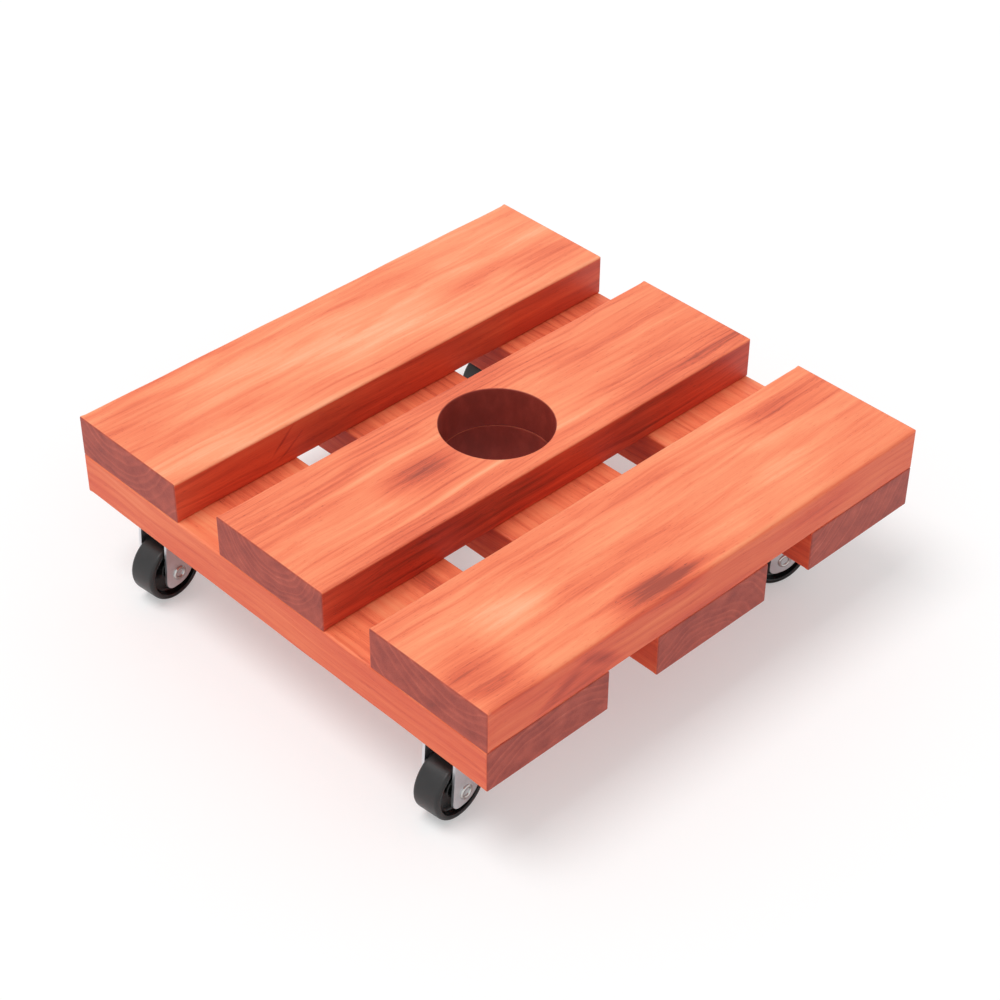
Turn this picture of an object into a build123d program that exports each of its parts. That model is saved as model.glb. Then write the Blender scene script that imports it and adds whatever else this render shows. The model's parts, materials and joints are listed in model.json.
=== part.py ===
from build123d import *
import os

# Square plant stand on swivel casters, in millimetres.
# Three slats lie across three others and make an open square deck with a drain
# hole in the middle. A small swivel plate caster stands under each corner.
# Origin on the floor under the middle of the deck. +X runs along the top slats,
# +Y along the bottom slats and +Z up, so -Y is the front and -X the left side.

# Deck
deck_side = 250.0
slat_width = 65.0
slat_thickness = 20.0
arris = 0.8                   # flat planed on the long edges of the slats
drain_diameter = 50.0         # saw hole through the two middle slats

# Slat screws, countersunk, driven up through the bottom slats
slat_screw_diameter = 4.0
slat_screw_head_diameter = 8.0
slat_screw_length = 35.0
slat_screw_sink = 0.4         # head below the underside of the slat
countersink_lean = 45.0       # degrees from the screw's axis
slat_screw_shift = 21.0       # from the middle of a corner crossing, clear of the caster

# Caster as a whole
caster_height = 41.0          # floor to the underside of the deck
caster_inset_x = 25.5         # swivel axis to the side of the deck
caster_inset_y = 34.5         # swivel axis to the front or back of the deck
trail = 14.0                  # swivel axis to axle, seen from above

# Wheel, moulded in plastic with recessed faces
wheel_diameter = 29.0
wheel_width = 13.2
rim_wall = 2.6
recess_depth = 3.6
hub_diameter = 9.0

# Axle, a rivet pin through both legs of the fork
axle_diameter = 5.0
axle_stub = 0.9               # length that stands out of each leg

# Fork, one folded steel stamping
fork_sheet = 1.3
fork_bend = 2.2               # outside radius of the fold
leg_below_axle = 6.2
leg_behind_low = 7.1          # rear edge behind the axle, at the level of the axle
leg_behind_high = 5.5         # rear edge behind the axle, at the top
leg_ahead_low = 6.0           # front edge ahead of the axle, at the bottom
leg_ahead_high = 13.0         # front edge ahead of the axle, at the top
leg_rear_round = 4.0
leg_front_round = 9.0

# Swivel: plate with a pressed boss, and the kingpin riveted in it
plate_length = 42.0           # along Y
plate_width = 32.0            # along X
plate_sheet = 1.5
plate_corner = 5.0
plate_hole_pitch_y = 32.0
plate_hole_pitch_x = 23.0
boss_diameter = 19.0
boss_drop = 3.5
kingpin_diameter = 5.0
kingpin_neck_diameter = 6.0
kingpin_head_diameter = 9.0
kingpin_head_height = 1.4

# Caster screws, pan head
caster_screw_diameter = 3.5
caster_screw_head_diameter = 6.6
caster_screw_head_height = 1.8
caster_screw_head_bevel = 0.9
caster_screw_length = 16.0

# Clearances
screw_hole_clearance = 0.25   # on the radius, where a screw passes through freely
screw_grip = 0.02             # on the radius, where a screw bites in its pilot hole
pilot_spare = 0.5             # depth of a pilot hole past the tip of its screw
rivet_clearance = 0.05        # on the radius, rivets in the sheet that they clench
running_clearance = 0.08      # on the radius, wheel on axle and fork on kingpin
swivel_play = 0.1             # along the kingpin, above and below the fork
hub_play = 0.3                # each side, hub to leg
rim_gap = 0.7                 # each side, rim to leg

# Flats that round details are drawn with where nothing turns on them, which keeps the
# repeated pieces light: screws, rivet necks and the holes that they fill, wheel recesses
fastener_flats = 8
hub_flats = 12
recess_flats = 36

# Bearing of each trailing wheel from its swivel axis, in degrees from +X about +Z,
# as the stand was left when it was last rolled
bearings = {
    "front_left": 185.0,
    "front_right": 163.0,
    "back_left": 185.0,
    "back_right": 176.0,
}
ends = {"front": -1, "middle": 0, "back": 1}       # along Y
sides = {"left": -1, "middle": 0, "right": 1}      # along X

# Heights and spans that follow
slat_pitch = (deck_side - slat_width) / 2
deck_bottom = caster_height
joint_height = deck_bottom + slat_thickness
deck_top = joint_height + slat_thickness
swivel_x = deck_side / 2 - caster_inset_x
swivel_y = deck_side / 2 - caster_inset_y
axle_height = wheel_diameter / 2
leg_inside = wheel_width / 2 + rim_gap
leg_outside = leg_inside + fork_sheet
plate_underside = deck_bottom - plate_sheet
boss_face = plate_underside - boss_drop
crown_top = boss_face - swivel_play
crown_underside = crown_top - fork_sheet
kingpin_seat = crown_underside - swivel_play
corners = {
    f"{end}_{side}": Pos(sides[side] * swivel_x, ends[end] * swivel_y, 0)
    for end in ("front", "back")
    for side in ("left", "right")
}

UP = (Align.CENTER, Align.CENTER, Align.MIN)


def rod(diameter, height):
    """A cylinder that stands on z = 0."""
    return Cylinder(diameter / 2, height, align=UP)


def prism(diameter, height, lean=0, flats=fastener_flats):
    """A prism that stands on z = 0, the diameter across its flats, which may lean inwards."""
    return extrude(RegularPolygon(diameter / 2, flats, major_radius=False), height, taper=lean)


def drain():
    """The saw hole's cutter, through both layers of slats."""
    return Pos(0, 0, deck_bottom) * rod(drain_diameter, deck_top - deck_bottom)


def slat_screw_places():
    """One screw at each of the eight crossings that the drain hole leaves whole."""
    for side in sides.values():
        for end in ends.values():
            if side or end:
                yield Pos(side * (slat_pitch - slat_screw_shift), end * slat_pitch, deck_bottom)


def caster_screw_places():
    """Four screws in each plate."""
    for corner in corners.values():
        for place in GridLocations(plate_hole_pitch_x, plate_hole_pitch_y, 2, 2):
            yield corner * Pos(0, 0, plate_underside) * place


def slat_screw():
    """Countersunk wood screw that points up, measured from the face of the wood."""
    depth = (slat_screw_head_diameter - slat_screw_diameter) / 2
    head = prism(slat_screw_head_diameter, depth, countersink_lean)
    return Pos(0, 0, slat_screw_sink) * (head + prism(slat_screw_diameter, slat_screw_length))


def slat_screw_pilot():
    """Pilot hole of a slat screw, which the bottom slat's clearance hole leads into."""
    depth = slat_screw_sink + slat_screw_length + pilot_spare
    return prism(slat_screw_diameter + 2 * screw_grip, depth)


def slat_screw_bore():
    """Countersink and clearance hole for a slat screw, through a bottom slat."""
    mouth = slat_screw_head_diameter + 2 * slat_screw_sink
    shank = slat_screw_diameter + 2 * screw_hole_clearance
    return prism(mouth, (mouth - shank) / 2, countersink_lean) + prism(shank, slat_thickness)


def caster_screw():
    """Pan-head wood screw that points up, measured from the underside of the plate."""
    head = prism(caster_screw_head_diameter, caster_screw_head_height)
    head = chamfer(head.edges().group_by(Axis.Z)[0], caster_screw_head_bevel)
    shank = prism(caster_screw_diameter, caster_screw_length)
    return Pos(0, 0, -caster_screw_head_height) * head + shank


def caster_screw_pilot():
    """Pilot hole of a caster screw, measured from the underside of the plate."""
    return prism(caster_screw_diameter + 2 * screw_grip, caster_screw_length + pilot_spare)


def slat():
    """A planed slat along X, centred."""
    block = Box(deck_side, slat_width, slat_thickness)
    return chamfer(block.edges().filter_by(Axis.X), arris)


def top_slat(end):
    """One of the slats that carry the pot."""
    piece = Pos(0, end * slat_pitch, joint_height + slat_thickness / 2) * slat()
    return piece - drain() - [place * slat_screw_pilot() for place in slat_screw_places()]


def bottom_slat(side):
    """One of the slats that lie across underneath."""
    piece = Pos(side * slat_pitch, 0, deck_bottom + slat_thickness / 2) * Rot(0, 0, 90) * slat()
    bores = [place * slat_screw_bore() for place in slat_screw_places()]
    pilots = [place * caster_screw_pilot() for place in caster_screw_places()]
    return piece - drain() - bores - pilots


def plate():
    """Mounting plate with a boss in its middle, closed off above by the wood, at a corner."""
    sheet = extrude(RectangleRounded(plate_width, plate_length, plate_corner), plate_sheet)
    boss = Pos(0, 0, -boss_drop) * rod(boss_diameter, boss_drop)
    neck = prism(kingpin_neck_diameter + 2 * rivet_clearance, boss_drop + plate_sheet)
    return Pos(0, 0, plate_underside) * (sheet + boss - Pos(0, 0, -boss_drop) * neck)


def caster_screw_hole():
    """Clearance hole for a caster screw through a plate."""
    return prism(caster_screw_diameter + 2 * screw_hole_clearance, plate_sheet)


def kingpin():
    """Rivet with its upper end fast in the plate, a round journal and a head below the fork."""
    neck = Pos(0, 0, boss_face) * prism(kingpin_neck_diameter, boss_drop + plate_sheet)
    journal = Pos(0, 0, kingpin_seat) * rod(kingpin_diameter, boss_face - kingpin_seat)
    head = prism(kingpin_head_diameter, kingpin_head_height)
    return neck + journal + Pos(0, 0, kingpin_seat - kingpin_head_height) * head


def leg_outline():
    """The fork from the side: X back from the swivel axis, Y up from the floor."""
    bottom = axle_height - leg_below_axle
    slope = (leg_behind_low - leg_behind_high) / (crown_top - axle_height)
    points = [
        (trail - leg_ahead_high, crown_top),
        (trail - leg_ahead_high, crown_underside),
        (trail - leg_ahead_low, bottom),
        (trail + leg_behind_low + slope * leg_below_axle, bottom),
        (trail + leg_behind_high, crown_top),
    ]
    outline = make_face(Polyline(*points, close=True))
    front, rear = outline.vertices().group_by(Axis.Y)[0].sort_by(Axis.X)
    outline = fillet(rear, leg_rear_round)
    front = outline.vertices().sort_by_distance(front)[0]
    return fillet(front, leg_front_round)


def across_at_axle():
    """The middle of the axle, with Z along it."""
    return Pos(trail, 0, axle_height) * Rot(90, 0, 0)


def fork():
    """Folded fork: a web with a round nose ahead of the swivel, and two legs."""
    shell = extrude(Plane.XZ * leg_outline(), leg_outside, both=True)
    shell = fillet(shell.edges().filter_by(Axis.X).group_by(Axis.Z)[-1], fork_bend)
    reach = trail + leg_behind_high
    inside = Pos(reach / 2, 0, crown_underside / 2) * Box(2 * reach, 2 * leg_inside, crown_underside)
    roof = inside.edges().filter_by(Axis.X).group_by(Axis.Z)[-1]
    shell -= fillet(roof, fork_bend - fork_sheet)
    disc = Pos(0, 0, crown_underside) * rod(2 * leg_outside, fork_sheet)
    nose = split(disc, Plane.YZ.offset(trail - leg_ahead_high), keep=Keep.BOTTOM)
    pin = Pos(0, 0, crown_underside) * rod(kingpin_diameter + 2 * running_clearance, fork_sheet)
    rivet_hole = extrude(rivet_section(axle_diameter + 2 * rivet_clearance), leg_outside, both=True)
    return shell + nose - pin - across_at_axle() * rivet_hole


def rivet_section(diameter):
    """Section of a hole that a rivet fills."""
    return RegularPolygon(diameter / 2, fastener_flats, major_radius=False)


def axle():
    """Pin that the wheel turns on, clenched in both legs."""
    return across_at_axle() * Cylinder(axle_diameter / 2, 2 * (leg_outside + axle_stub))


def wheel():
    """Moulded wheel: a tread with a recess in each face and a hub, on a round bore."""
    tread = Cylinder(wheel_diameter / 2, wheel_width)
    recess = RegularPolygon(wheel_diameter / 2 - rim_wall, recess_flats)
    recesses = extrude(recess, wheel_width / 2, both=True)
    recesses -= Box(wheel_diameter, wheel_diameter, wheel_width - 2 * recess_depth)
    hub = extrude(RegularPolygon(hub_diameter / 2, hub_flats), leg_inside - hub_play, both=True)
    bore = Cylinder(axle_diameter / 2 + running_clearance, 2 * leg_inside)
    return across_at_axle() * (tread - recesses + hub - bore)


def save(name, *solids):
    """Writes one node: a single solid, or a group of like ones."""
    shape = solids[0] if len(solids) == 1 else Compound(children=list(solids))
    export_step(shape, f"parts/{name}.step")


os.makedirs("parts", exist_ok=True)

for name, end in ends.items():
    save(f"top_slat_{name}", top_slat(end))
for name, side in sides.items():
    save(f"bottom_slat_{name}", bottom_slat(side))
save("slat_screws", *[place * slat_screw() for place in slat_screw_places()])
holes = [place * caster_screw_hole() for place in caster_screw_places()]
save("caster_plates", *[corner * plate() - holes for corner in corners.values()])
save("caster_screws", *[place * caster_screw() for place in caster_screw_places()])
save("kingpins", *[corner * kingpin() for corner in corners.values()])
for name, corner in corners.items():
    turned = corner * Rot(0, 0, bearings[name])
    save(f"fork_{name}", turned * fork())
    save(f"axle_{name}", turned * axle())
    save(f"wheel_{name}", turned * wheel())
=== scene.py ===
import json

import bmesh
import bpy
import numpy as np
from mathutils import Matrix, Vector


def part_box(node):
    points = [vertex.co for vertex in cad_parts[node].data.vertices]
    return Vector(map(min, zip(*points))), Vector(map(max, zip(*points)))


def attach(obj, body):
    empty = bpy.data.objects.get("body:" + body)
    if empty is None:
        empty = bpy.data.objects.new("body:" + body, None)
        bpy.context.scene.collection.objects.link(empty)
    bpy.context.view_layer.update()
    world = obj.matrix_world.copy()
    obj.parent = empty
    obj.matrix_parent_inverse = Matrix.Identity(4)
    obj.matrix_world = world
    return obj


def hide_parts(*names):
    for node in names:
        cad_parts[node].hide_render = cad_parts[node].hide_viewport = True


# The plant stand stands on the floor at z = 0. +X runs along the top slats, +Y along the
# bottom ones, -Y is the front and -X the left side. Shapes are worked out in millimetres.
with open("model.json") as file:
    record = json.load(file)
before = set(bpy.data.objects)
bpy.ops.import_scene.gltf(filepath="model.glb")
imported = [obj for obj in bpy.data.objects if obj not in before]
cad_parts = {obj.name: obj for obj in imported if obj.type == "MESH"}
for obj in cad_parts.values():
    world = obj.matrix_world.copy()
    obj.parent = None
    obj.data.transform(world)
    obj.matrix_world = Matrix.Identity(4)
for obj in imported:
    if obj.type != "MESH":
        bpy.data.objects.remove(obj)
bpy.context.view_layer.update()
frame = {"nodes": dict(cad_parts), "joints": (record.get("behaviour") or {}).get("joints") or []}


# Bottom slats: three planed softwood boards that lie from front to back and carry the rest.
# They are sawn to length, sanded on the arrises and stained red by hand. The outer two
# hold the casters, and the middle one has the lower half of the saw hole.
MM = 0.001
arris_offsets = np.array([0, 0.2, 0.45, 0.7, 1.0, 1.3, 1.7, 2.2, 2.8, 3.5])
drain_radius = 25.0
drain_arris = 0.7
end_arris = 0.6
wall_rows, wall_reach = 9, 8.4
side_rows, side_reach = 5, 6.0


def make_object(name, points, faces):
    """A mesh object from points in millimetres and faces, with its faces turned outwards."""
    mesh = bpy.data.meshes.new(name)
    mesh.from_pydata((np.asarray(points).reshape(-1, 3) * MM).tolist(), [], faces)
    made = bmesh.new()
    made.from_mesh(mesh)
    bmesh.ops.recalc_face_normals(made, faces=made.faces)
    made.to_mesh(mesh)
    made.free()
    mesh.shade_smooth()
    thing = bpy.data.objects.new(name, mesh)
    bpy.context.scene.collection.objects.link(thing)
    return thing


def grid_faces(rows, columns, closed_rows=False):
    """Quads between neighbours of a grid of points. Each row closes on itself, and the last
    row may join up with the first one."""
    a = np.arange(rows if closed_rows else rows - 1)[:, None]
    b = np.arange(columns)[None, :]
    c, d = (a + 1) % rows, (b + 1) % columns
    corners = [a * columns + b, a * columns + d, c * columns + d, c * columns + b]
    quads = np.stack([np.broadcast_to(x, (a.size, b.size)) for x in corners], -1)
    return quads.reshape(-1, 4).tolist()


def smooth_step(low, high, value):
    """0 below low, 1 above high and an S-curve between them."""
    t = np.clip((value - low) / (high - low), 0, 1)
    return t * t * (3 - 2 * t)


def square_rim(half):
    """Places round a rectangle's edge as shares of its half sizes, close together at corners."""
    sides = []
    for own in half[:2]:
        near_corner = 1 - arris_offsets / own
        between = np.linspace(-1, 1, int(own / 2.2) + 2)[1:-1]
        curved = np.tan(np.radians(np.linspace(-60, 60, 41))) * half[1] / own
        share = np.concatenate([near_corner, -near_corner, between, curved])
        share = np.sort(share[np.abs(share) <= 1])
        keep = np.concatenate([[True], np.diff(share) > 0.1 / own])
        sides.append(share[keep][:-1])
    along, across = sides
    one = np.ones_like
    a = np.concatenate([along, one(across), -along, -one(across)])
    b = np.concatenate([-one(along), across, one(along), -across])
    return a, b


def eased(points, half, radius):
    """Rounds a box: each point goes to the sphere of the local radius round the nearest
    point of the box that is smaller by that radius on every side."""
    r = radius(points)[..., None]
    inner = np.clip(points, r - half, half - r)
    away = points - inner
    return inner + r * away / np.linalg.norm(away, axis=-1, keepdims=True)


def board(name, long_arrises, phase, hole=False):
    """A slat as a grid: columns go round its outline, and rows go over the top face, down the
    sides and back under it, and with a hole down its wall too, where the grid closes up."""
    low, high = (np.array(corner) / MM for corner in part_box(name))
    middle, half = (low + high) / 2, (high - low) / 2
    turned = half[1] > half[0]
    if turned:
        half = half[[1, 0, 2]]
    a, b = square_rim(half)

    def radius(p):
        """Long arrises by their corner of the section, with a slow wobble, less at the ends."""
        x, y, z = np.moveaxis(p, -1, 0)
        v, w = (1 + y / half[1]) / 2, (1 + z / half[2]) / 2
        lf, lb, uf, ub = long_arrises
        r = (lf * (1 - v) + lb * v) * (1 - w) + (uf * (1 - v) + ub * v) * w
        wobble = 0.14 * np.sin(x / 16 + phase) + 0.1 * np.sin(x / 6.1 + 2.3 * phase + y)
        r = r * (1 + wobble)
        r = r + (end_arris - r) * smooth_step(half[0] - 3.0, half[0] - 0.5, np.abs(x))
        return r

    def ring(inset, z):
        """One row of the outline, moved in from the sides of the board."""
        return np.stack([a * (half[0] - inset), b * (half[1] - inset), np.full_like(a, z)], -1)

    d = arris_offsets
    upper = half[2] - d[:-1]
    between = np.linspace(side_reach, -side_reach, side_rows)
    heights = np.concatenate([upper, between, -upper[::-1]])
    rows = [ring(inset, half[2]) for inset in d[:0:-1]]
    rows += [ring(0, z) for z in heights]
    rows += [ring(inset, -half[2]) for inset in d[1:]]
    rows = eased(np.array(rows), half, radius)
    if hole:
        turn = np.arctan2(b * half[1], a * half[0])
        circle = np.stack([np.cos(turn), np.sin(turn), 0 * turn], -1)
        lift = np.array([0, 0, 1.0])
        rim = [(drain_radius + 4, half[2])]
        for s in np.radians(np.linspace(0, 90, 6)):
            outward, down = drain_arris * (1 - np.sin(s)), drain_arris * (1 - np.cos(s))
            rim.append((drain_radius + outward, half[2] - down))
        wall = [(drain_radius, z) for z in np.linspace(wall_reach, -wall_reach, wall_rows)]
        lower = [(r, -z) for r, z in rim[::-1]]
        spread = np.linspace(0, 1, 7)[1:-1]
        inner = [r * circle + z * lift for r, z in rim + wall + lower]
        above = [rows[0] + (inner[0] - rows[0]) * s for s in spread]
        below = [rows[-1] + (inner[-1] - rows[-1]) * s for s in spread]
        rows = np.concatenate([rows, below, inner[::-1], above[::-1]])
    faces = grid_faces(len(rows), len(a), closed_rows=hole)
    if not hole:
        count = len(a)
        last = (len(rows) - 1) * count
        faces += [list(range(count))[::-1], list(range(last, last + count))]
    if turned:
        rows = np.stack([-rows[..., 1], rows[..., 0], rows[..., 2]], -1)
    return make_object(f"{name}_wood", rows + middle, faces), middle, half, turned, hole


def linear(code):
    """A colour written as an sRGB hex value, as linear light."""
    value = np.array([int(code[i:i + 2], 16) for i in (1, 3, 5)]) / 255
    value = np.where(value <= 0.04045, value / 12.92, ((value + 0.055) / 1.055) ** 2.4)
    return (*value.tolist(), 1.0)


def add(tree, kind, sockets=None, **settings):
    """Adds one node with its settings, fills or links its sockets, and returns its output."""
    node = tree.nodes.new(kind)
    for name, value in settings.items():
        if name == "stops":
            while len(node.color_ramp.elements) < len(value):
                node.color_ramp.elements.new(1.0)
            for element, (place, tone) in zip(node.color_ramp.elements, value):
                element.position = place
                element.color = linear(tone) if isinstance(tone, str) else (tone, tone, tone, 1)
        else:
            setattr(node, name, value)
    for socket, value in (sockets or {}).items():
        if isinstance(value, bpy.types.NodeSocket):
            tree.links.new(value, node.inputs[socket])
        else:
            node.inputs[socket].default_value = value
    return next((s for s in node.outputs if s.enabled), node)


def new_material(name):
    """An empty node material, its tree, and the socket that takes its surface."""
    material = bpy.data.materials.new(name)
    material.use_nodes = True
    tree = material.node_tree
    tree.nodes.clear()
    output = tree.nodes.new("ShaderNodeOutputMaterial")
    return material, tree, output.inputs["Surface"]


# Stain, from pale to deep: on the top, the sides, the hole's wall and the end grain. The top
# is paler than the sides partly from sanding and partly as a painted highlight on the lit top.
top_tones = [(0.0, "#FFB68C"), (0.3, "#FC996B"), (0.55, "#F78056"), (0.8, "#DE6240"),
             (1.0, "#A5432F")]
side_tones = [(0.0, "#FC9468"), (0.3, "#F07549"), (0.55, "#E25A38"), (0.8, "#BE3F28"),
              (1.0, "#7E251A")]
wall_tones = [(0.0, "#7C271C"), (0.5, "#983428"), (1.0, "#B8483A")]
end_tones = [(0.0, "#D07058"), (0.35, "#B54A37"), (0.7, "#983426"), (1.0, "#661F17")]
# How dark a growth ring is from its start to its end, which is the dense late wood.
ring_tones = [(0.0, 0.35), (0.08, 0.0), (0.5, 0.12), (0.84, 1.0), (0.95, 0.85), (1.0, 0.35)]


def stained_wood(name, middle, half, turned, hole, pith, lean, ring, tone=0.0, patches=(),
                 side_stain_and_shade=0.0):
    """Softwood under a red wiping stain. Growth rings are tubes round a pith line beside the
    board, so that their lines on the faces and the arcs on the ends agree. The top is paler
    than the sides, partly from sanding and partly as a painted highlight on the lit top, and
    the end grain is brown and thirsty. The sides can be deepened further, which is painted
    shade in the grooves between slats. A patch is a soft spot where the stain took more or
    less: its place, its size, how much, and its tilt."""
    material, tree, surface = new_material(name)
    add(tree, "ShaderNodeTexCoord")
    where = tree.nodes[-1].outputs["Object"]
    spin = -np.pi / 2 if turned else 0.0
    shift = middle if not turned else np.array([middle[1], -middle[0], middle[2]])
    p = add(tree, "ShaderNodeMapping", {"Vector": where, "Scale": (1 / MM,) * 3,
                                        "Rotation": (0, 0, spin), "Location": tuple(-shift)})

    def math(operation, first, second=0.0, third=0.0):
        return add(tree, "ShaderNodeMath", {0: first, 1: second, 2: third}, operation=operation)

    def varied(grain, amount, base):
        """The base value, moved up and down by a grain of noise round its middle."""
        return math("MULTIPLY_ADD", math("SUBTRACT", grain, 0.5), amount, base)

    def band(value, low, high, **settings):
        """0 below low, 1 above high and a ramp between them."""
        return add(tree, "ShaderNodeMapRange", {0: value, 1: low, 2: high}, **settings)

    def length(vector):
        add(tree, "ShaderNodeVectorMath", {0: vector}, operation="LENGTH")
        return tree.nodes[-1].outputs["Value"]

    def blend(factor, first, second):
        return add(tree, "ShaderNodeMix", {0: factor, 6: first, 7: second}, data_type="RGBA")

    def noise(stretch, detail=2.0, rough=0.5, seed=0.0, vector=p):
        """Noise whose grains are as long, wide and high as stretch says, in millimetres."""
        moved = add(tree, "ShaderNodeMapping", {"Vector": vector,
                                                "Scale": tuple(1 / s for s in stretch),
                                                "Location": (seed, seed * 1.7, seed * 0.6)})
        return add(tree, "ShaderNodeTexNoise", {"Vector": moved, "Scale": 1.0, "Detail": detail,
                                                "Roughness": rough})

    seed = 3.1 * pith[0] + pith[1]
    noise((90, 24, 24), 2.0, 0.5, seed)
    bend = tree.nodes[-1].outputs["Color"]
    bend = add(tree, "ShaderNodeVectorMath", {0: bend, 1: (0.5,) * 3}, operation="SUBTRACT")
    bend = add(tree, "ShaderNodeVectorMath", {0: bend, 1: (0, 9.0, 9.0)}, operation="MULTIPLY")
    bent = add(tree, "ShaderNodeVectorMath", {0: p, 1: bend}, operation="ADD")
    sway, dip = np.radians(lean)
    axis = add(tree, "ShaderNodeMapping", {"Vector": bent, "Location": (0, -pith[0], -pith[1]),
                                           "Rotation": (0, dip, sway)})
    axis = add(tree, "ShaderNodeVectorMath", {0: axis, 1: (0, 1, 1)}, operation="MULTIPLY")
    years = math("DIVIDE", length(axis), ring)
    uneven = add(tree, "ShaderNodeTexNoise", {"W": math("MULTIPLY", years, 0.45), "Scale": 1.0,
                                              "Detail": 1.0}, noise_dimensions="1D")
    years = math("MULTIPLY_ADD", uneven, 2.2, years)
    phase = math("FRACT", years)
    late = add(tree, "ShaderNodeValToRGB", {0: phase}, stops=ring_tones)
    each = add(tree, "ShaderNodeTexWhiteNoise", {"W": math("FLOOR", years)},
               noise_dimensions="1D")
    each = add(tree, "ShaderNodeMapRange", {0: each, 3: 0.35, 4: 1.0})
    late = math("MULTIPLY", late, each)

    broad = noise((80, 20, 14), 2.0, 0.5, seed + 2)
    streak = noise((150, 2.6, 2.6), 3.0, 0.55, seed + 5, bent)
    fibre = noise((30, 0.4, 0.4), 3.0, 0.6, seed + 7, bent)
    # How deep the stain is: deeper in late wood, with clouds, streaks, fibres and patches.
    depth = math("MULTIPLY_ADD", late, 0.15, 0.10 + tone)
    depth = varied(broad, 0.9, depth)
    depth = varied(streak, 0.62, depth)
    depth = varied(fibre, 0.36, depth)
    depth = math("ADD", depth, 0.28)
    for place, size, strength, tilt in patches:
        near = add(tree, "ShaderNodeMapping", {"Vector": bent, "Location": place, "Scale": size,
                                               "Rotation": (0, np.radians(tilt), 0)},
                   vector_type="TEXTURE")
        near = band(length(near), 1.0, 0.15, interpolation_type="SMOOTHSTEP")
        depth = math("MULTIPLY_ADD", near, strength, depth)
    pores = noise((3.5, 0.28, 0.28), 1.0, 0.5, seed + 11, bent)
    pores = band(pores, 0.66, 0.74)
    depth = math("MULTIPLY_ADD", pores, 0.22, depth)

    add(tree, "ShaderNodeSeparateXYZ", {0: p})
    x, y, z = tree.nodes[-1].outputs
    # The top takes paler tones than the sides: partly sanding, partly a painted highlight on the
    # lit top.
    on_top = band(z, half[2] - 1.3, half[2] - 0.25, interpolation_type="SMOOTHSTEP")
    at_end = band(math("ABSOLUTE", x), half[0] - 0.55, half[0] - 0.1,
                  interpolation_type="SMOOTHSTEP")
    top_colour = add(tree, "ShaderNodeValToRGB", {0: depth}, stops=top_tones)
    # Sides take a deeper stain, and the extra side value deepens it more: on the back and middle
    # top slats that is painted shade in the grooves between slats.
    on_side = math("MULTIPLY_ADD", depth, 0.75, side_stain_and_shade + 0.11)
    side_colour = add(tree, "ShaderNodeValToRGB", {0: on_side}, stops=side_tones)
    end_depth = math("MULTIPLY_ADD", late, -0.26, 0.6)
    end_depth = varied(noise((8, 9, 7), 4.0, 0.6, seed + 13), 0.9, end_depth)
    end_depth = varied(noise((1, 0.45, 0.45), 2.0, 0.6, seed), 0.35, end_depth)
    end_colour = add(tree, "ShaderNodeValToRGB", {0: end_depth}, stops=end_tones)
    colour = blend(at_end, blend(on_top, side_colour, top_colour), end_colour)
    if hole:
        level_only = add(tree, "ShaderNodeVectorMath", {0: p, 1: (1, 1, 0)},
                         operation="MULTIPLY")
        on_wall = band(length(level_only), drain_radius + 0.45, drain_radius + 0.1)
        # The hole's wall has its own darker tones, mottled by noise.
        wall_mottle = math("MULTIPLY_ADD", noise((5, 5, 9), 3.0, 0.6, 4.0), 0.9, 0.1)
        wall_colour = add(tree, "ShaderNodeValToRGB", {0: wall_mottle}, stops=wall_tones)
        colour = blend(on_wall, colour, wall_colour)

    bump_height = math("MULTIPLY_ADD", fibre, 0.6, math("MULTIPLY", streak, 0.5))
    bump_height = math("MULTIPLY_ADD", pores, -0.5, bump_height)
    bump_height = math("MULTIPLY_ADD", late, 0.25, bump_height)
    bump = add(tree, "ShaderNodeBump", {"Height": bump_height, "Distance": 0.12 * MM,
                                        "Strength": 0.6})
    rough = math("MULTIPLY_ADD", fibre, 0.2, 0.42)
    shader = add(tree, "ShaderNodeBsdfPrincipled", {"Base Color": colour, "Roughness": rough,
                                                    "Normal": bump})
    tree.links.new(shader, surface)
    return material


bottom_slats = {
    "bottom_slat_left": dict(pith=(-5, -48), lean=(0.6, 1.2), ring=4.2, tone=0.16,
                             side_stain_and_shade=-0.12),
    "bottom_slat_middle": dict(pith=(9, -30), lean=(-0.8, 0.6), ring=3.6, tone=0.22),
    "bottom_slat_right": dict(pith=(52, 40), lean=(0.5, -1.0), ring=3.4, tone=0.2),
}
bottom_arrises = (0.9, 0.9, 1.1, 1.1)
for number, (name, grain) in enumerate(bottom_slats.items()):
    piece, *place = board(name, bottom_arrises, 1.3 * number, hole=name.endswith("middle"))
    piece.data.materials.append(stained_wood(f"stained_wood_{name}", *place, **grain))
    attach(piece, "deck")
    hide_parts(name)


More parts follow.
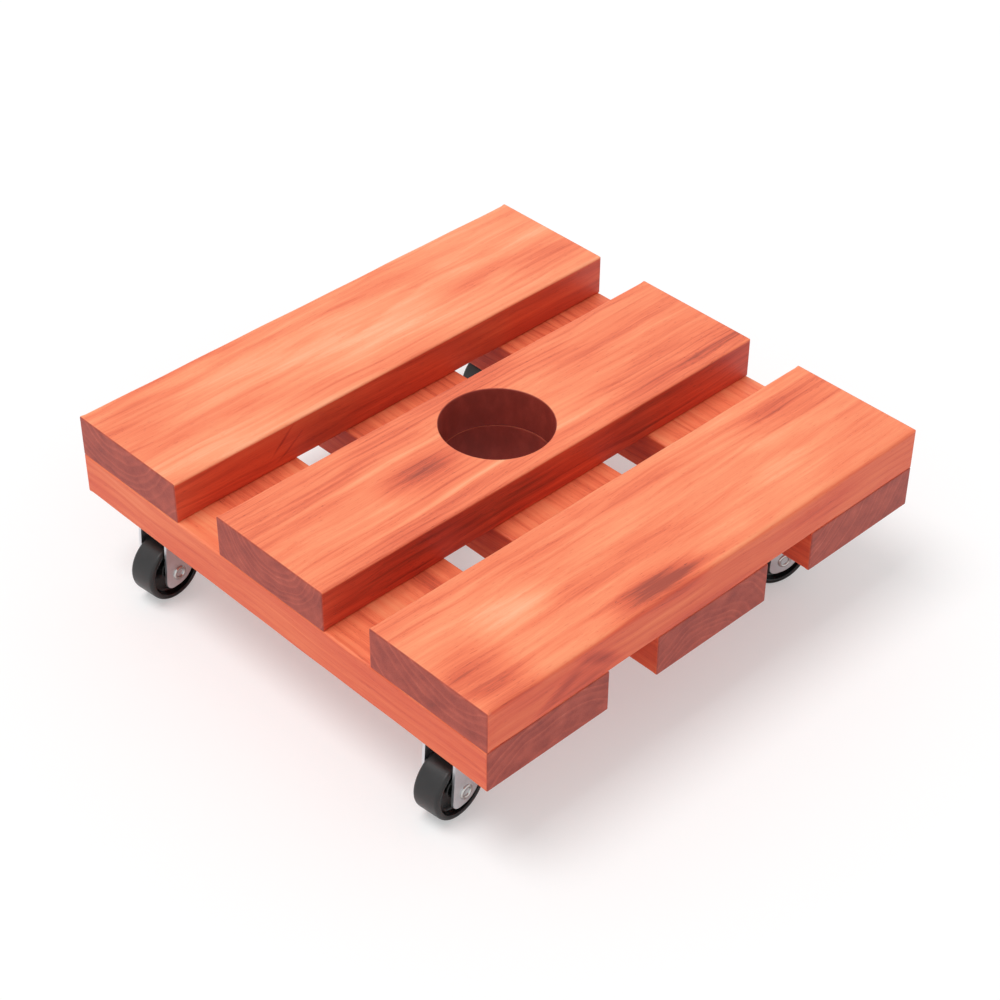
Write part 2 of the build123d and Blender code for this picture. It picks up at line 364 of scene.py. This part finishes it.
# Top slats: three boards of the same stock across the bottom ones, which carry the pot.
# Their tops are paler than their sides, partly from sanding and partly as a painted highlight
# where the light falls on them, and the sides of the back and middle slats are darkened as
# painted shade in the grooves between the slats. The middle one has the upper half of the
# saw hole, and the front one's outer arris is rounded more.
top_slats = {
    # The 0.24 added to the sides of the back and middle slats is painted shade in the grooves
    # between the slats.
    "top_slat_back": dict(pith=(10, 34), lean=(0.5, 1.0), ring=4.4, tone=-0.05, side_stain_and_shade=0.24),
    "top_slat_middle": dict(pith=(0, 21), lean=(-0.4, 0.4), ring=3.2, tone=0.11,
                            side_stain_and_shade=0.24),
    "top_slat_front": dict(pith=(-16, 42), lean=(1.2, -0.8), ring=5.0, tone=0.05),
}
top_slats["top_slat_back"]["patches"] = [
    ((-108, 14, 10), (46, 22, 8), 0.3, 0),
    ((-15, -4, 10), (80, 22, 6), -0.2, 0),
    ((108, -16, 10), (36, 12, 6), 0.26, 0),
    ((118, 22, 10), (30, 9, 6), 0.16, 0),
    ((-68, -34, 1), (12, 5, 1.1), 0.4, -38),
    ((-64, -34, -3), (13, 5, 0.9), 0.4, -30),
]
top_slats["top_slat_middle"]["patches"] = [
    ((-46, -5, 10), (30, 14, 6), 0.42, 0),
    ((-30, -22, 10), (120, 2.4, 4), -0.34, 0),
    ((-55, 10, 10), (80, 2.4, 4), -0.28, 0),
    ((100, -26, 10), (60, 4, 6), 0.18, 0),
]
top_slats["top_slat_front"]["patches"] = [
    ((-112, -20, 10), (26, 30, 8), 0.4, 0),
    ((-77, 4, 10), (30, 14, 6), -0.36, 0),
    ((-28, -26, 9), (36, 13, 8), 0.44, 0),
    ((88, 22, 10), (50, 5, 5), 0.24, 0),
    ((20, 22, 10), (70, 9, 5), 0.14, 0),
    ((-88, -34, -3), (26, 5, 5), 0.3, -22),
    ((-66, -34, 0), (20, 5, 5), 0.34, 30),
    ((-76, -34, -7), (26, 5, 11), 0.3, 0),
]
top_arrises = {"top_slat_back": (1.0, 1.0, 1.1, 1.2), "top_slat_middle": (1.0, 1.0, 1.1, 1.1),
               "top_slat_front": (1.2, 1.0, 2.3, 1.1)}
for number, (name, grain) in enumerate(top_slats.items()):
    middle_one = name.endswith("middle")
    piece, *place = board(name, top_arrises[name], 0.7 + 1.9 * number, hole=middle_one)
    piece.data.materials.append(stained_wood(f"stained_wood_{name}", *place, **grain))
    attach(piece, "deck")
    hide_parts(name)


# Slat screws: eight countersunk screws of bright steel, driven up through the bottom slats,
# which are countersunk for their heads. Cold-headed, with a cross recess, and zinc plated.
def revolved(profile, turns=48, closed=True):
    """Points of a turned part about Z: each profile point (radius, height) goes round a circle.
    Where the profile is closed, it starts and ends off the axis and joins up."""
    angle = np.linspace(0, 2 * np.pi, turns, endpoint=False)
    r, h = np.asarray(profile, float).T
    around = np.stack([np.cos(angle), np.sin(angle)], -1)
    level = np.broadcast_to(h[:, None, None], (len(r), turns, 1))
    rings = np.concatenate([r[:, None, None] * around, level], -1)
    faces = grid_faces(len(r), turns, closed_rows=closed)
    if not closed:
        last = (len(r) - 1) * turns
        faces += [list(range(turns))[::-1], list(range(last, last + turns))]
    return rings.reshape(-1, 3), faces


def many(shape, places, turns=None):
    """Copies of one shape's points and faces, each turned about Z and moved to its place."""
    points, faces = shape
    turns = np.zeros(len(places)) if turns is None else np.asarray(turns)
    all_points, all_faces = [], []
    for number, (place, turn) in enumerate(zip(places, turns)):
        c, s = np.cos(turn), np.sin(turn)
        spin = np.array([[c, s, 0], [-s, c, 0], [0, 0, 1]])
        all_points.append(points @ spin + place)
        all_faces += [[i + number * len(points) for i in face] for face in faces]
    return np.concatenate(all_points), all_faces


def screw_head(profile, recess, deep):
    """A turned head whose face is pressed in along a cross: the depth falls off with the
    distance from the nearer arm and with the distance from the middle."""
    points, faces = revolved(profile, 48, closed=False)
    x, y = np.abs(points[:, 0]), np.abs(points[:, 1])
    on_arm = 1 - smooth_step(recess * 0.16, recess * 0.3, np.minimum(x, y))
    within = 1 - smooth_step(recess * 0.7, recess, np.hypot(x, y))
    face = points[:, 2] < profile[-1][1] + 1.0
    points[:, 2] += np.where(face, deep * on_arm * within, 0)
    return points, faces


def islands(name, reach=10.5):
    """The middle of each separate solid of a CAD node, seen from above, in millimetres. Points
    within reach of each other belong to one solid."""
    mesh = frame["nodes"][name].data
    spots = np.zeros(len(mesh.vertices) * 3)
    mesh.vertices.foreach_get("co", spots)
    spots = spots.reshape(-1, 3)[:, :2] / MM
    middles = []
    while len(spots):
        near = np.hypot(*(spots - spots[0]).T) < reach
        group = spots[near]
        middles.append((group.min(0) + group.max(0)) / 2)
        spots = spots[~near]
    return np.array(middles)


def plated_steel(name, tone, rough, grain=(0.6, 0.6, 0.6)):
    """Zinc-plated steel: a pale grey metal, a little cloudy where the plating took unevenly,
    with a fine satin tooth from the rolled sheet and dull specks."""
    material, tree, surface = new_material(name)
    add(tree, "ShaderNodeTexCoord")
    where = tree.nodes[-1].outputs["Object"]
    cloud = add(tree, "ShaderNodeTexNoise", {"Vector": where, "Scale": 160.0, "Detail": 3.0})
    fine = add(tree, "ShaderNodeMapping", {"Vector": where,
                                           "Scale": tuple(1 / (MM * g) for g in grain)})
    fine = add(tree, "ShaderNodeTexNoise", {"Vector": fine, "Scale": 1.0, "Detail": 2.0})
    dark, light = (tuple(c * k for c in linear(tone)[:3]) + (1.0,) for k in (0.78, 1.08))
    colour = add(tree, "ShaderNodeMix", {0: cloud, 6: dark, 7: light}, data_type="RGBA")
    roughness = add(tree, "ShaderNodeMapRange", {0: fine, 1: 0.3, 2: 0.7,
                                                 3: rough - 0.07, 4: rough + 0.09})
    bump = add(tree, "ShaderNodeBump", {"Height": fine, "Distance": 0.02 * MM, "Strength": 0.4})
    shader = add(tree, "ShaderNodeBsdfPrincipled", {"Base Color": colour, "Metallic": 1.0,
                                                    "Roughness": roughness, "Normal": bump})
    tree.links.new(shader, surface)
    return material


wood_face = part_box("bottom_slat_left")[0].z / MM
slat_screw_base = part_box("slat_screws")[0].z / MM
bright_steel = plated_steel("zinc_plated_screw", "#CFCDC8", 0.28)
slat_head = [(2.0, 6.0), (2.0, 2.0), (3.9, 0.1), (3.85, 0), (3.0, 0), (2.6, 0), (2.2, 0),
             (1.8, 0), (1.4, 0), (1.0, 0), (0.7, 0), (0.4, 0), (0.15, 0)]
places = np.column_stack([islands("slat_screws"), np.full(8, slat_screw_base)])
bit = revolved([(4.7, -0.9), (3.95, 0.0), (3.95, 0.3), (0.2, 0.5)], 48, closed=False)
cutter = make_object("countersink_bit", *many(bit, places))
for name in bottom_slats:
    piece = bpy.data.objects[f"{name}_wood"]
    cut = piece.modifiers.new("countersinks", "BOOLEAN")
    cut.object, cut.solver = cutter, "EXACT"
    evaluated = piece.evaluated_get(bpy.context.evaluated_depsgraph_get())
    drilled = bpy.data.meshes.new_from_object(evaluated)
    piece.modifiers.clear()
    piece.data = drilled
    drilled.set_sharp_from_angle(angle=np.radians(40))
bpy.data.objects.remove(cutter)
head_turns = np.arange(8) * 0.7
piece = make_object("slat_screw_heads", *many(screw_head(slat_head, 2.4, 1.0), places, head_turns))
piece.data.materials.append(bright_steel)
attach(piece, "deck")
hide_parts("slat_screws")


# Caster plates: 1.5 mm steel sheet, blanked with round corners and zinc plated. A boss is
# pressed down in the middle, and the plate is screwed flat to the wood at its corners.
joints = {joint["name"]: joint for joint in frame["joints"]}
corners = {name[7:]: joint for name, joint in joints.items() if name.startswith("swivel_")}
axles = {name[5:]: joint for name, joint in joints.items() if name.startswith("roll_")}
swivels = {name: np.array(joint["pos_m"]) / MM * (1, 1, 0) for name, joint in corners.items()}
bearings = {}
for name, joint in axles.items():
    reach = np.array(joint["pos_m"]) / MM - swivels[name]
    bearings[name] = np.arctan2(reach[1], reach[0])
    trail, axle_height = np.hypot(reach[0], reach[1]), reach[2]
plate_half = np.array([16.0, 21.0])
plate_corner = 5.0
plate_sheet = 1.5
boss_depth = 3.5
boss_radius = 9.5
rivet_hole = 3.0
plate_under = wood_face - plate_sheet
boss_face = plate_under - boss_depth
facets = 96
around = np.linspace(0, 2 * np.pi, facets, endpoint=False)
direction = np.stack([np.cos(around), np.sin(around)], -1)
side = np.clip(direction * 100, plate_corner - plate_half, plate_half - plate_corner)
outline = side + plate_corner * direction


def level_row(line, z):
    """A closed line of points in plan, at one height."""
    return np.column_stack([line, np.full(facets, z)])


sheared_edge = [(1.2, 0), (0.6, 0), (0.35, 0), (0.1, 0.105), (0, 0.35), (0, 1.15), (0.1, 1.4),
                (0.35, plate_sheet)]
plate_rows = [level_row(outline - inset * direction, plate_under + rise)
              for inset, rise in sheared_edge]
pressed = [(boss_radius + 1.6, 0), (boss_radius + 0.8, -0.12), (boss_radius + 0.2, -0.6),
           (boss_radius - 0.2, -1.4), (boss_radius - 0.5, -2.3), (boss_radius - 0.9, -3.0),
           (boss_radius - 1.5, -3.4), (boss_radius - 2.3, -boss_depth), (4.6, -boss_depth),
           (rivet_hole, -boss_depth)]
boss_rows = [level_row(r * direction, plate_under + z) for r, z in pressed]
back_rows = [level_row(rivet_hole * direction, wood_face)]
plate_grid = np.array(back_rows + boss_rows[::-1] + plate_rows)
plate_shape = plate_grid.reshape(-1, 3), grid_faces(len(plate_grid), facets, closed_rows=True)
piece = make_object("swivel_plates", *many(plate_shape, list(swivels.values())))
zinc_sheet = plated_steel("zinc_plated_sheet", "#E2E6EA", 0.36, (2.5, 0.5, 0.5))
piece.data.materials.append(zinc_sheet)
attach(piece, "deck")
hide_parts("caster_plates")


# Kingpins: short steel rivets, set hard in the plate's boss and loose in the fork, with a
# peened button head below it. Same plating as the sheet.
crown_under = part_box("kingpins")[0].z / MM
button = [(2.5, boss_face + 2), (2.5, crown_under + 1.4), (4.2, crown_under + 1.4),
          (4.5, crown_under + 1.1), (4.4, crown_under + 0.7), (3.9, crown_under + 0.3),
          (3.0, crown_under + 0.08), (1.8, crown_under), (0.8, crown_under)]
rivet = revolved(button, 40, closed=False)
piece = make_object("kingpin_rivets", *many(rivet, list(swivels.values())))
piece.data.materials.append(zinc_sheet)
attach(piece, "deck")
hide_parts("kingpins")


# Caster screws: sixteen pan-head screws, four to a plate, turned up tight against the sheet.
# Cold-headed steel with a cross recess and a bright zinc finish.
head_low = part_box("caster_screws")[0].z / MM
pan = [(1.6, head_low + 3.2), (1.6, head_low + 1.8), (3.2, head_low + 1.8), (3.3, head_low + 1.5),
       (3.2, head_low + 1.0), (2.8, head_low + 0.45), (2.3, head_low + 0.15),
       (1.9, head_low + 0.05), (1.6, head_low), (1.3, head_low), (1.0, head_low), (0.7, head_low),
       (0.4, head_low), (0.15, head_low)]
hole_x, hole_y = 11.5, 16.0
hole_offsets = np.array([[i * hole_x, j * hole_y, 0] for i in (-1, 1) for j in (-1, 1)])
screw_spots = np.concatenate([swivels[name] + hole_offsets for name in swivels])
head_turns = np.arange(16) * 0.9
piece = make_object("caster_screw_heads", *many(screw_head(pan, 2.1, 0.8), screw_spots, head_turns))
piece.data.materials.append(bright_steel)
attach(piece, "deck")
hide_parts("caster_screws")


# Forks: each one stamping of 1.3 mm steel sheet, folded down into two legs that hold the
# wheel, with a round nose over the kingpin. Zinc plated after stamping, edges tumbled.
fork_sheet = 1.3
leg_outside = 8.6
fold = 2.2
crown_top = boss_face - 0.1
leg_bottom = axle_height - 6.2
leg_rear_low = np.array([trail + 7.56, leg_bottom])
leg_rear_high = np.array([trail + 5.5, crown_top])
leg_front_low = np.array([trail - 6.0, leg_bottom])
leg_front_high = np.array([trail - 13.0, crown_top - fork_sheet])
front_foot_round, rear_foot_round = 9.0, 4.0
leg_rows, face_columns = 26, 15


def leg_edge(low, high, z, radius, sign):
    """Front or rear edge of a leg at each height: a straight line from low to high, with a
    round of the given radius at the foot, tangent to the line and to the level bottom."""
    slope = (high[0] - low[0]) / (high[1] - low[1])
    line = low[0] + slope * (z - low[1])
    lean = np.arctan(slope) * sign
    tangent = radius * np.tan((np.pi / 2 - lean) / 2)
    centre = low[0] - sign * tangent
    height = low[1] + radius
    turned_off = height - radius * np.sin(lean)
    arc = centre + sign * np.sqrt(np.clip(radius ** 2 - (height - z) ** 2, 0, None))
    return np.where(z < turned_off, arc, line)


def fork_shape():
    """The folded sheet. Rows run up one leg, over the crown and down the other. Columns go over
    the outer face from the front edge to the rear one, and back over the inner face, which
    lies one sheet's thickness inside it. The nose is half a circle in plan."""
    climb = np.linspace(0, 1, leg_rows) ** 2.0
    leg_z = leg_bottom + (crown_top - fold - leg_bottom) * climb
    turn = np.radians(np.linspace(0, 90, 9))[1:]
    flat = np.linspace(leg_outside - fold, 0, 7)[1:]
    faces_of_sheet = []
    for depth in (0.0, fork_sheet):
        bend = fold - depth
        y = np.concatenate([np.full(leg_rows, leg_outside - depth),
                            leg_outside - fold + bend * np.cos(turn), flat])
        z = np.concatenate([leg_z, crown_top - fold + bend * np.sin(turn),
                            np.full(len(flat), crown_top - depth)])
        faces_of_sheet.append((y, z))
    y, z = faces_of_sheet[0]
    front = leg_edge(leg_front_low, leg_front_high, z, front_foot_round, -1)
    rear = leg_edge(leg_rear_low, leg_rear_high, z, rear_foot_round, 1)
    share = np.clip((y - leg_outside + fold) / fold, 0, 1) ** 2
    nose = front * share - np.sqrt(np.clip(leg_outside ** 2 - y ** 2, 0, None))
    front = np.where(z > crown_top - fold - 1e-6, nose, front)
    column = np.linspace(0, 1, face_columns)
    column = np.concatenate([column, column[::-1]])[None, :]
    x = front[:, None] * (1 - column) + rear[:, None] * column
    across = np.repeat(np.stack([y for y, z in faces_of_sheet], 1), face_columns, axis=1)
    up = np.repeat(np.stack([z for y, z in faces_of_sheet], 1), face_columns, axis=1)
    one_leg = np.stack([x, across, up], -1)
    points = np.concatenate([one_leg, one_leg[-2::-1] * (1, -1, 1)])
    count = 2 * face_columns
    last = (len(points) - 1) * count
    faces = grid_faces(len(points), count) + [list(range(count)), list(range(last, last + count))]
    return points.reshape(-1, 3), faces


for name in swivels:
    fork = many(fork_shape(), [swivels[name]], [bearings[name]])
    piece = make_object(f"folded_fork_{name}", *fork)
    edge = piece.modifiers.new("tumbled_edge", "BEVEL")
    edge.width = 0.28 * MM
    edge.segments = 3
    edge.limit_method = "ANGLE"
    edge.angle_limit = np.radians(50)
    piece.modifiers.new("flat_faces", "WEIGHTED_NORMAL")
    piece.data.materials.append(zinc_sheet)
    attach(piece, f"caster_{name}")
    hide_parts(f"fork_{name}")


# Axles: hollow steel rivets through both legs, with their ends rolled over into a bright
# ring round a dark mouth. The wheel turns on them.
axle_end = leg_outside + 0.9
curl_turn = np.radians(np.linspace(-70, 235, 14))
curl_middle, curl_size = 2.6, 0.8
curl = np.column_stack([curl_middle + curl_size * np.cos(curl_turn),
                        axle_end - curl_size + curl_size * np.sin(curl_turn)])
mouth = [(curl_middle - 0.85, leg_outside - 0.4), (1.7, leg_outside - 5.0),
         (0.3, leg_outside - 5.2)]
shank = [(2.5, 0), (2.5, leg_outside - 0.1), (3.0, leg_outside - 0.02)]
half_rivet = shank + curl.tolist() + mouth
whole_rivet = [(r, -h) for r, h in half_rivet[:0:-1]] + half_rivet
rivet_points, rivet_faces = revolved(whole_rivet, 48, closed=False)
rivet_points = rivet_points[:, [0, 2, 1]] * (1, 1, -1) + (trail, 0, axle_height)
rivet_steel = plated_steel("rolled_rivet", "#C9C8C6", 0.2, (0.4, 0.4, 0.4))
for name in swivels:
    rivet = many((rivet_points, rivet_faces), [swivels[name]], [bearings[name]])
    piece = make_object(f"hollow_rivet_{name}", *rivet)
    piece.data.materials.append(rivet_steel)
    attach(piece, f"caster_{name}")
    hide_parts(f"axle_{name}")


# Wheels: black polypropylene, moulded in one, with a rounded tread, a deep recess in each
# face and a hub on the rivet. Satin from the mould, scuffed grey where the tread rolls.
wheel_radius, wheel_half = axle_height, 6.6
tread_round, lip = 1.5, 1.1
recess_radius = wheel_radius - tread_round - lip
recess_floor = wheel_half - 3.6
half_wheel = [(wheel_radius, h) for h in (0.0, 1.5, 3.2, 4.6)]
for s in np.radians(np.linspace(0, 90, 8)):
    inward, back = tread_round * (1 - np.cos(s)), tread_round * (1 - np.sin(s))
    half_wheel.append((wheel_radius - inward, wheel_half - back))
half_wheel += [
    (recess_radius + 0.7, wheel_half), (recess_radius + 0.3, wheel_half - 0.05),
    (recess_radius + 0.08, wheel_half - 0.25), (recess_radius, wheel_half - 0.6),
    (recess_radius - 0.25, recess_floor + 0.9), (recess_radius - 0.45, recess_floor + 0.4),
    (recess_radius - 0.9, recess_floor + 0.08), (recess_radius - 1.6, recess_floor),
    (7.5, recess_floor), (5.9, recess_floor), (5.1, recess_floor + 0.1),
    (4.65, recess_floor + 0.5), (4.5, recess_floor + 1.1), (4.4, 6.4), (4.25, 6.8), (3.9, 7.0),
    (3.2, 7.0), (2.75, 6.9), (2.6, 6.6), (2.58, 3.0)]
whole_wheel = [(r, -h) for r, h in half_wheel[:0:-1]] + half_wheel
wheel_points, wheel_faces = revolved(whole_wheel, 120)
wheel_points = wheel_points[:, [0, 2, 1]] * (1, 1, -1) + (trail, 0, axle_height)


def black_plastic(name, centre, axis):
    """Moulded polypropylene: near black and satin, rougher and greyer on the tread, which is
    where the distance from the axle reaches the wheel's radius."""
    material, tree, surface = new_material(name)
    add(tree, "ShaderNodeTexCoord")
    where = tree.nodes[-1].outputs["Object"]
    offset = add(tree, "ShaderNodeVectorMath", {0: where, 1: centre}, operation="SUBTRACT")
    add(tree, "ShaderNodeVectorMath", {0: offset, 1: axis}, operation="DOT_PRODUCT")
    along = tree.nodes[-1].outputs["Value"]
    flat = add(tree, "ShaderNodeVectorMath", {0: axis, "Scale": along}, operation="SCALE")
    flat = add(tree, "ShaderNodeVectorMath", {0: offset, 1: flat}, operation="SUBTRACT")
    add(tree, "ShaderNodeVectorMath", {0: flat}, operation="LENGTH")
    from_axle = tree.nodes[-1].outputs["Value"]
    rolled = add(tree, "ShaderNodeMapRange", {0: from_axle, 1: (wheel_radius - 0.9) * MM,
                                              2: (wheel_radius - 0.1) * MM})
    grit = add(tree, "ShaderNodeTexNoise", {"Vector": where, "Scale": 900.0, "Detail": 3.0})
    scuff = add(tree, "ShaderNodeTexNoise", {"Vector": where, "Scale": 220.0, "Detail": 4.0,
                                             "Roughness": 0.65})
    worn = add(tree, "ShaderNodeMath", {0: rolled, 1: scuff}, operation="MULTIPLY")
    colour = add(tree, "ShaderNodeMix", {0: worn, 6: linear("#131213"), 7: linear("#262526")},
                 data_type="RGBA")
    rough = add(tree, "ShaderNodeMapRange", {0: worn, 3: 0.26, 4: 0.5})
    bump = add(tree, "ShaderNodeBump", {"Height": grit, "Distance": 0.03 * MM, "Strength": 0.5})
    shader = add(tree, "ShaderNodeBsdfPrincipled", {"Base Color": colour, "Roughness": rough,
                                                    "Normal": bump})
    tree.links.new(shader, surface)
    return material


for name in swivels:
    wheel = many((wheel_points, wheel_faces), [swivels[name]], [bearings[name]])
    piece = make_object(f"moulded_wheel_{name}", *wheel)
    centre, axis = tuple(axles[name]["pos_m"]), tuple(axles[name]["axis"])
    piece.data.materials.append(black_plastic(f"black_polypropylene_{name}", centre, axis))
    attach(piece, f"roller_{name}")
    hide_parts(f"wheel_{name}")


# Floor, light and camera: a white card that glows a little for the camera, as an overexposed
# floor does, and can be seen through from below. A white room and one wide, soft light from
# the back left. The camera stands where the photograph was taken from.
far = 3000.0
glow_share = 0.34
room_light = 0.6
floor = make_object("floor", [(-far, -far, 0), (far, -far, 0), (far, far, 0), (-far, far, 0)],
                    [[0, 1, 2, 3]])
material, tree, surface = new_material("white_card")
card = add(tree, "ShaderNodeBsdfDiffuse", {"Color": linear("#FDFDFD")})
glow = add(tree, "ShaderNodeEmission", {"Color": linear("#FDFDFD"), "Strength": 1.08})
add(tree, "ShaderNodeLightPath")
camera_ray = tree.nodes[-1].outputs["Is Camera Ray"]
to_camera = add(tree, "ShaderNodeMath", {0: camera_ray, 1: glow_share}, operation="MULTIPLY")
shader = add(tree, "ShaderNodeMixShader", {0: to_camera, 1: card, 2: glow})
add(tree, "ShaderNodeNewGeometry")
from_below = tree.nodes[-1].outputs["Backfacing"]
clear = add(tree, "ShaderNodeBsdfTransparent")
shader = add(tree, "ShaderNodeMixShader", {0: from_below, 1: shader, 2: clear})
tree.links.new(shader, surface)
floor.data.materials.append(material)

world = bpy.data.worlds.new("studio")
bpy.context.scene.world = world
world.use_nodes = True
tree = world.node_tree
tree.nodes.clear()
rays = tree.nodes.new("ShaderNodeLightPath").outputs
seen = add(tree, "ShaderNodeMath", {0: rays["Is Camera Ray"], 1: rays["Is Glossy Ray"]},
           operation="MAXIMUM")
seen = add(tree, "ShaderNodeMath", {0: seen, 1: rays["Is Transmission Ray"]}, operation="MAXIMUM")
strength = add(tree, "ShaderNodeMapRange", {0: seen, 3: room_light, 4: 1.0})
sky = add(tree, "ShaderNodeBackground", {"Color": linear("#FFFFFF"), "Strength": strength})
output = tree.nodes.new("ShaderNodeOutputWorld")
tree.links.new(sky, output.inputs["Surface"])

key = bpy.data.objects.new("key", bpy.data.lights.new("key", "SUN"))
key.data.energy = 1.42
key.data.angle = np.radians(30)
bpy.context.scene.collection.objects.link(key)
key_from = np.array([-0.5, 0.28, 1.7])
key.rotation_mode = "QUATERNION"
key.rotation_quaternion = Vector(key_from).to_track_quat("Z", "Y")

azimuth, elevation, tilt = np.radians([-44.19, 38.68, 0.44])
focal_pixels, image_width, sensor = 2296.94, 1000, 36.0
distance, off_right, off_down, aim_height = 969.52, 1.26, 32.51, 81.0
back = np.array([np.sin(azimuth) * np.cos(elevation), -np.cos(azimuth) * np.cos(elevation),
                 np.sin(elevation)])
level = np.array([np.cos(azimuth), np.sin(azimuth), 0])
upright = np.cross(back, level)
right = level * np.cos(tilt) + upright * np.sin(tilt)
up = upright * np.cos(tilt) - level * np.sin(tilt)
aim = np.array([0, 0, aim_height])
place = (back * distance + right * off_right - up * off_down + aim) * MM
camera = bpy.data.objects.new("camera", bpy.data.cameras.new("camera"))
camera.data.sensor_width = sensor
camera.data.lens = focal_pixels * sensor / image_width
camera.matrix_world = Matrix([*np.column_stack([right, up, back, place]).tolist(), (0, 0, 0, 1)])
bpy.context.scene.collection.objects.link(camera)
bpy.context.scene.camera = camera
bpy.context.scene.view_settings.view_transform = "Standard"
